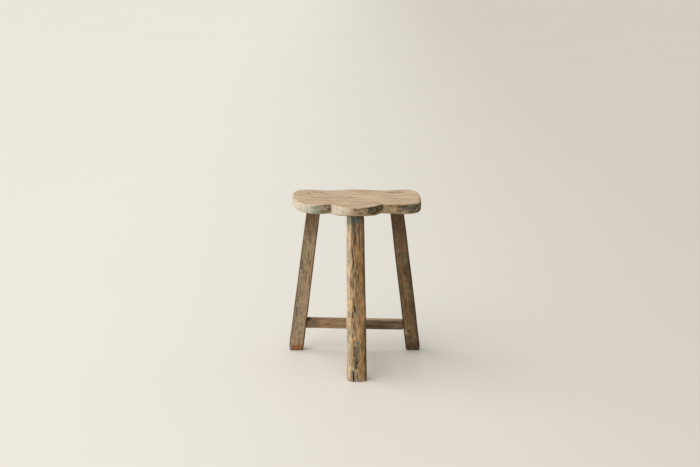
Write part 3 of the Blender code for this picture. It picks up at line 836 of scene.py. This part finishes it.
# Knots and knocks on the rear legs' front faces: centre, radius, depth and tint
LEFT_LEG_MARKS = (
    ((0.1174, 0.0058, -0.0125), (0.0045, 0.004, 0.01), 0.0006, 0.3),
    ((0.0568, 0.0038, -0.0125), (0.003, 0.003, 0.01), 0.001, 0.5),
    ((0.0565, 0.004, -0.0125), (0.0012, 0.011, 0.01), 0.0006, 0.35),
    ((0.1632, -0.0113, -0.0125), (0.004, 0.004, 0.01), 0.0008, 0.5),
)
RIGHT_LEG_MARKS = (
    ((0.237, 0.002, -0.0125), (0.0022, 0.007, 0.01), 0.0008, 0.5),
    ((0.234, 0.0075, -0.0125), (0.003, 0.003, 0.01), 0.001, 0.7),
    ((0.061, -0.0056, -0.0125), (0.004, 0.0046, 0.01), 0.0016, 0.8),
    ((0.041, -0.0035, -0.0125), (0.005, 0.0044, 0.01), 0.0016, 0.75),
    ((0.0884, -0.0153, -0.0125), (0.003, 0.003, 0.01), 0.0008, 0.4),
)


def make_rear_leg(node, name, seed, marks, crease, shading, material):
    """A rear leg: a plain tapered board with sharp dark arrises and a worn foot. marks are its
    dents, crease is the dark line on its tenon's crown, and shading(leg) adds its own masks."""
    leg, length, shoulder = leg_surface(node, name)
    wear_arrises(leg, 5, 0.25, 0.8, seed, bare=0.15)
    x, y, _ = leg.points.T
    body = smoothstep(0.0, 0.02, x) * (1 - smoothstep(shoulder - 0.012, shoulder - 0.002, x))
    leg.push(0.0006 * leg.noise((8, 26, 26), seed + 1) * body)
    leg.push(0.0003 * leg.noise((12, 150, 150), seed + 2) * body)
    corner = (1 - smoothstep(0.0, 0.011, x)) * smoothstep(0.008, 0.018, abs(y))
    leg.points[:, 1] *= 1 - 0.15 * corner
    foot = 1 - smoothstep(0.0, 0.010, x)
    leg.push(-0.0010 * foot * (0.7 + 0.8 * leg.noise((60, 90, 90), seed + 3)))
    for centre, radius, depth, tint in marks:
        dent(leg, centre, radius, depth, tint)
    for side, across, reach, count in REAR_LEG_FACES:
        fine_splits(leg, side, across, (HAIRLINE_REACH, (-reach, reach)), count, SEED + seed + across)
    leg.write()
    leg.mask("endgrain", abs(leg.normals[:, 0]) ** 2)
    leg.mask("stain_and_shade", smoothstep(0.08, 0.30, abs(leg.normals[:, 1])))
    leg.mask("paint", 0.25 * smoothstep(0.25, 0.6, leg.noise((30, 60, 60), seed + 5)))
    shading(leg)
    seat_tenon(leg, length, shoulder, crease)
    place(leg, node, material)


def shade_left_leg(leg):
    """The left rear leg: a rusty worn foot, a top painted darker as the seat's shade, and a grey left
    third.
    """
    x, y, _ = leg.points.T
    ragged = leg.noise((60, 60, 60), 25)
    leg.mask("tone", (1 - smoothstep(0.016, 0.023, x - 0.004 * ragged)) * smoothstep(-0.017, -0.010, y))
    # Painted shade: the top is darkened where the seat shades it
    leg.mask("stain_and_shade", 0.95 * smoothstep(0.31, 0.43, x + 0.02 * ragged))
    leg.mask("stain_and_shade", 0.9 * (1 - smoothstep(0.002, 0.007, x)))
    leg.mask("paint", 0.60 * patch(leg, (0.20, -0.011, -0.012), (0.26, 0.007, 0.02)))
    leg.mask("stain_and_shade", 0.9 * (1 - smoothstep(0.0, 0.016, x)) * smoothstep(0.011, 0.016, abs(y)))


def shade_right_leg(leg):
    """The right rear leg: dark at the foot, its top painted dark as the seat's shade and the lower right
    part of its face painted darker as shade, with a green streak down its right side.
    """
    x, y, _ = leg.points.T
    ragged = leg.noise((40, 60, 60), 35)
    # Painted shade: the top is darkened where the seat shades it
    leg.mask("stain_and_shade", 0.8 * smoothstep(0.30, 0.42, x + 0.03 * ragged))
    leg.mask("stain_and_shade", 0.9 * (1 - smoothstep(0.015, 0.05, x + 0.012 * ragged)))
    # Painted shade: the lower right part of the face, away from the window, is darkened
    leg.mask("stain_and_shade", 0.5 * smoothstep(0.004, 0.012, y + 0.004 * ragged) * (1 - smoothstep(0.24, 0.3, x)))
    leg.mask("tone", 0.8 * patch(leg, (0.112, -0.004, -0.012), (0.045, 0.009, 0.02)))
    leg.mask("paint", 0.7 * patch(leg, (0.160, 0.0115, -0.012), (0.065, 0.003, 0.02)))
    leg.mask("paint", 0.5 * patch(leg, (0.132, -0.015, -0.012), (0.010, 0.003, 0.02)))
    leg.mask("worn_and_lit", 0.5 * patch(leg, (0.0595, -0.0135, -0.012), (0.008, 0.004, 0.02)))


def make_rear_legs():
    """Both rear legs, each with its own marks and colour."""
    left_tints = (((0.30, 0.235, 0.165), (20, 70, 70), 0.7), ((0.32, 0.27, 0.125), (25, 60, 60), 0.5),
                  ((0.36, 0.205, 0.11), (45, 110, 110), 0.4))
    left_wood = wood("left_leg_wood", early=(0.425, 0.312, 0.203), late=(0.30, 0.20, 0.12),
                     tone=(0.25, 0.082, 0.018), stain_and_shade=(0.11, 0.055, 0.025), worn_and_lit=BARE_SEAT,
                     pith=(0.030, 0.024), ring=0.0038, seed=7.0, tints=left_tints, streak=0.25,
                     paint_share=0.5, mottle=((90, 90, 90), 1.3))
    right_tints = (((0.215, 0.155, 0.10), (20, 65, 65), 0.6), ((0.16, 0.135, 0.05), (25, 60, 60), 0.6),
                   ((0.22, 0.095, 0.038), (45, 110, 110), 0.5))
    right_wood = wood("right_leg_wood", early=(0.20, 0.13, 0.060), late=(0.12, 0.072, 0.030),
                      tone=(0.22, 0.115, 0.040), stain_and_shade=(0.048, 0.028, 0.015), worn_and_lit=BARE_SEAT,
                      pith=(-0.036, 0.020), ring=0.0036, seed=9.0, tints=right_tints, streak=0.25,
                      paint_share=0.6, mottle=((90, 90, 90), 1.6))
    make_rear_leg("left_rear_leg", "left_rear_leg_post", 21, LEFT_LEG_MARKS, 0.3, shade_left_leg,
                  left_wood)
    make_rear_leg("right_rear_leg", "right_rear_leg_post", 31, RIGHT_LEG_MARKS, 1.0, shade_right_leg,
                  right_wood)


# ---- Stretchers, wedges and pegs ----

def make_bar(node, name, grain, across, seed, material, shading):
    """A stretcher: a square bar with softened arrises and hair cracks. shading(bar) adds its own
    masks."""
    low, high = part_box(node)
    bar = remeshed(node, name, axes((low + high) / 2, grain, across), BAR_CELL)
    wear_arrises(bar, 4, 0.25, 0.8, seed, bare=0.3)
    bar.push(0.0005 * bar.noise((10, 40, 40), seed + 1))
    reach = abs(bar.points[:, 0]).max() - 0.045
    for side, axis in (((0, -1, 0), 2), ((0, 1, 0), 2), ((0, 0, 1), 1), ((0, 0, -1), 1)):
        fine_splits(bar, side, axis, ((-reach, reach), (-0.010, 0.010)), 22, SEED + seed + axis)
    bar.write()
    bar.mask("endgrain", abs(bar.normals[:, 0]) ** 2)
    shading(bar)
    place(bar, node, material)


def shade_rear_stretcher(bar):
    """Painted shadow of the left leg beside it, lighter up to the middle, and dark on the right under a
    top painted pale as lit.
    """
    x, _, z = bar.points.T
    drift = bar.noise((20, 60, 60), 55)
    face = smoothstep(0.3, 0.7, -bar.normals[:, 1])
    top = smoothstep(0.5, 0.8, bar.normals[:, 2])
    bar.mask("stain_and_shade", 0.95 * face * smoothstep(-0.01, 0.03, x + 0.01 * drift))
    # Painted shadow: the left end, and the front face near the left leg, are darkened where the leg's
    # shade falls
    bar.mask("stain_and_shade", 1.0 * (1 - smoothstep(-0.130, -0.122, x)))
    bar.mask("stain_and_shade", 0.65 * face * (1 - smoothstep(-0.112, -0.085, x + 0.01 * drift)))
    bar.mask("stain_and_shade", 0.9 * (1 - face) * (1 - top))
    # Painted light: the top of the right half is painted pale, as lit by the window
    bar.mask("worn_and_lit", 0.55 * top * smoothstep(0.0, 0.03, x))
    bar.mask("worn_and_lit", 0.20 * face * smoothstep(0.1, 0.5, bar.noise((16, 90, 240), 56)))
    bar.mask("paint", 0.55 * patch(bar, (-0.121, -0.009, 0.006), (0.007, 0.01, 0.005)))
    bar.mask("paint", 0.8 * patch(bar, (-0.107, -0.009, -0.012), (0.006, 0.01, 0.004)))
    bar.mask("paint", 0.7 * patch(bar, (0.120, -0.009, -0.006), (0.014, 0.01, 0.0028)))
    # Painted shadow: the top arris beside the left leg is laid on near black
    bar.mask("crack_and_shade", 0.7 * (1 - smoothstep(-0.126, -0.108, x)) * smoothstep(0.008, 0.012, z))
    bar.mask("tone", 0.7 * patch(bar, (-0.114, -0.009, -0.006), (0.006, 0.01, 0.005)))


def shade_centre_stretcher(bar):
    """Plain brown; its front end is grey with dirt and a little paint, its back end brown."""
    x, _, z = bar.points.T
    front_end = 1.0 - smoothstep(0.004, 0.012, x - x.min())
    bar.mask("tone", 0.5 * smoothstep(0.0, 0.5, bar.noise((8, 20, 20), 65)))
    bar.mask("stain_and_shade", front_end * (0.7 + 1.0 * bar.noise((60, 160, 160), 66)))
    bar.mask("stain_and_shade", 0.6 * smoothstep(-0.012, -0.004, x - x.max()))
    bar.mask("paint", 0.9 * front_end * smoothstep(0.001, 0.006, z))


def make_stretchers():
    """The T of stretchers."""
    tints = (((0.28, 0.225, 0.14), (12, 90, 90), 0.6), ((0.34, 0.18, 0.09), (16, 160, 160), 0.6))
    rear_wood = wood("rear_stretcher_wood", early=(0.34, 0.23, 0.13), late=(0.20, 0.125, 0.065),
                     tone=(0.42, 0.30, 0.10), stain_and_shade=(0.060, 0.040, 0.022), worn_and_lit=(0.50, 0.37, 0.25),
                     pith=(0.02, -0.03), ring=0.0034, seed=11.0, tints=tints, streak=0.5,
                     paint_share=0.6, mottle=((20, 200, 200), 1.8))
    centre_wood = wood("centre_stretcher_wood", early=(0.33, 0.22, 0.125), late=(0.20, 0.12, 0.065),
                       tone=(0.24, 0.15, 0.08), stain_and_shade=(0.10, 0.082, 0.062), worn_and_lit=(0.42, 0.29, 0.17),
                       pith=(-0.02, -0.03), ring=0.0032, seed=13.0, tints=tints, streak=0.4,
                       paint_share=0.5)
    make_bar("rear_stretcher", "rear_stretcher_bar", (1, 0, 0), (0, 1, 0), 51, rear_wood,
             shade_rear_stretcher)
    make_bar("centre_stretcher", "centre_stretcher_bar", (0, 1, 0), (-1, 0, 0), 61, centre_wood,
             shade_centre_stretcher)


def make_small(node, name, grain, across, material, seed):
    """A whittled wedge or peg, tight in its place."""
    low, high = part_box(node)
    piece = remeshed(node, name, axes((low + high) / 2, grain, across), SMALL_CELL, SMALL_SQUASH)
    wear_arrises(piece, 2, 0.3, 0.8, seed, bare=0.0)
    piece.push(0.00015 + 0.00010 * piece.noise((150, 300, 300), seed + 1))
    piece.write()
    piece.mask("endgrain", abs(piece.normals[:, 0]) ** 2)
    place(piece, node, material)


def make_fastenings():
    """The wedges in the tenons and the pegs in the stretchers' joints."""
    pale = wood("wedge_wood", early=(0.50, 0.36, 0.23), late=(0.38, 0.26, 0.16),
                tone=(0.20, 0.12, 0.06), stain_and_shade=(0.20, 0.12, 0.06), worn_and_lit=BARE_SEAT,
                pith=(0.01, 0.01), ring=0.0022, seed=15.0)
    brown = wood("peg_wood", early=(0.24, 0.165, 0.10), late=(0.15, 0.10, 0.06),
                 tone=(0.12, 0.08, 0.05), stain_and_shade=(0.10, 0.07, 0.05), worn_and_lit=(0.36, 0.25, 0.15),
                 pith=(0.01, 0.01), ring=0.0022, seed=17.0)
    for side in ("left", "right"):
        leg = f"{side}_rear_leg"
        lean = end_centre(leg, True) - end_centre(leg, False)
        make_small(f"{side}_leg_wedge", f"{side}_wedge", lean, (1, 0, 0), pale, 41)
        make_small(f"{side}_stretcher_peg", f"{side}_peg", (0, 1, 0), (1, 0, 0), brown, 45)
    make_small("front_tenon_wedge", "level_wedge", (0, 1, 0), (1, 0, 0), brown, 44)
    make_small("centre_stretcher_peg", "centre_peg", (0, 0, 1), (1, 0, 0), brown, 47)


# ---- Stage, light and camera ----

FLOOR_REACH = 40.0

# The floor's colours, painted lighter on the window's side and dimmer away from it as painted light
# falloff, as pairs for its faint clouds, and x where the one gives way to the other
FLOOR_BRIGHT = ((0.82, 0.80, 0.745), (0.84, 0.82, 0.765))
FLOOR_DIM = ((0.62, 0.585, 0.515), (0.64, 0.605, 0.535))
FLOOR_FADE = (-1.1, 1.5)

# The window: how far it is in front of straight left, its height and its breadth, in degrees
WINDOW_AZIMUTH = 20
WINDOW_HEIGHT = 38
WINDOW_BREADTH = 90
WINDOW_ENERGY = 2.65
AMBIENT_STRENGTH = 0.56

CAMERA_PLACE = (-0.0125, -3.47, 1.19)
CAMERA_DIP = 13.445
LENS = 70


def make_floor():
    """A plain pale floor that fills the view, its colour painted a little brighter on the side of the
    window as painted light.
    """
    mesh = bpy.data.meshes.new("floor")
    reach = FLOOR_REACH
    mesh.from_pydata([(-reach, -reach, 0), (reach, -reach, 0), (reach, reach, 0), (-reach, reach, 0)],
                     [], [(0, 1, 2, 3)])
    floor = bpy.data.objects.new("floor", mesh)
    bpy.context.scene.collection.objects.link(floor)
    g = Graph("floor_paint_and_painted_light")
    cloud = g.noise((1.5, 1.5, 1.5), detail=3.0)
    bright = g.mix(cloud, *FLOOR_BRIGHT)
    dim = g.mix(cloud, *FLOOR_DIM)
    across = g.node("ShaderNodeSeparateXYZ")
    g.links.new(g.coords, across.inputs[0])
    # Painted light: the floor's colour fades from bright to dim away from the window
    share = g.step(*FLOOR_FADE, across.outputs["X"])
    g.links.new(g.mix(share, bright, dim), g.shader.inputs["Base Color"])
    g.shader.inputs["Roughness"].default_value = 0.45
    g.shader.inputs["Specular IOR Level"].default_value = 0.3
    mesh.materials.append(g.material)


def make_window():
    """A broad window of light from the left, a little in front."""
    azimuth = math.radians(WINDOW_AZIMUTH)
    height = math.radians(WINDOW_HEIGHT)
    towards = Vector((-math.cos(azimuth) * math.cos(height), -math.sin(azimuth) * math.cos(height),
                      math.sin(height)))
    key = bpy.data.lights.new("window", "SUN")
    key.energy = WINDOW_ENERGY
    key.angle = math.radians(WINDOW_BREADTH)
    key.color = (1.0, 0.985, 0.96)
    lamp = bpy.data.objects.new("window", key)
    lamp.rotation_mode = "QUATERNION"
    lamp.rotation_quaternion = towards.to_track_quat("Z", "Y")
    bpy.context.scene.collection.objects.link(lamp)


def make_surround():
    """A dim light from all round; past the floor's edge it shows as a plain pale wall."""
    world = bpy.data.worlds.new("surround")
    world.use_nodes = True
    nodes = world.node_tree.nodes
    links = world.node_tree.links
    ambient = nodes["Background"]
    ambient.inputs["Color"].default_value = (1.0, 0.975, 0.93, 1.0)
    ambient.inputs["Strength"].default_value = AMBIENT_STRENGTH
    wall = nodes.new("ShaderNodeBackground")
    wall.inputs["Color"].default_value = (0.78, 0.75, 0.68, 1.0)
    path = nodes.new("ShaderNodeLightPath")
    choose = nodes.new("ShaderNodeMixShader")
    links.new(path.outputs["Is Camera Ray"], choose.inputs[0])
    links.new(ambient.outputs[0], choose.inputs[1])
    links.new(wall.outputs[0], choose.inputs[2])
    links.new(choose.outputs[0], nodes["World Output"].inputs["Surface"])
    bpy.context.scene.world = world


def make_camera():
    """A long lens at eye height, looking down a little at the stool."""
    data = bpy.data.cameras.new("camera")
    data.lens = LENS
    data.sensor_width = 36
    camera = bpy.data.objects.new("camera", data)
    camera.location = CAMERA_PLACE
    camera.rotation_euler = (math.radians(90 - CAMERA_DIP), 0, 0)
    bpy.context.scene.collection.objects.link(camera)
    bpy.context.scene.camera = camera
    bpy.context.scene.view_settings.view_transform = "Standard"


make_camera()
make_floor()
make_window()
make_surround()
make_seat()
make_front_leg()
make_rear_legs()
make_stretchers()
make_fastenings()
